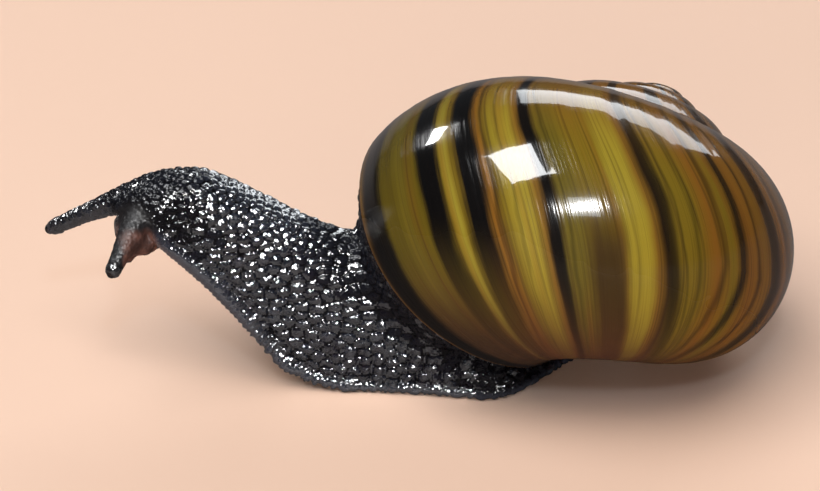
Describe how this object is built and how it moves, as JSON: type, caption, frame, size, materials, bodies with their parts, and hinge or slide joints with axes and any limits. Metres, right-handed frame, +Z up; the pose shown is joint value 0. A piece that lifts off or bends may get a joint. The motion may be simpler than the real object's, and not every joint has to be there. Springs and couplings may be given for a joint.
{
  "type": "striped land snail",
  "caption": "Life-size land snail in a creeping pose, rounded spiral shell on its back, front of the body raised and long feelers held out.",
  "frame": {"origin": "on the floor under the sole of the foot, on the body's middle line", "axes": "+Z up, -X towards the head, +Y to the animal's right"},
  "size_m": [0.0443, 0.0218, 0.0187],
  "materials": {
    "shell": "glossy striped shell",
    "skin": "wet granular skin",
    "mantle": "wet smooth skin",
    "mouth": "soft moist skin",
    "eye": "wet gloss"
  },
  "bodies": {
    "root": {"shell": "shell", "mantle": "mantle", "tail": "skin", "foot": "skin", "trunk": "skin", "neck": "skin", "head": "skin", "mouth": "mouth", "upper_tentacle_left": "skin", "upper_tentacle_right": "skin", "eye_left": "eye", "eye_right": "eye", "lower_tentacle_left": "skin", "lower_tentacle_right": "skin"}
  },
  "joints": []
}
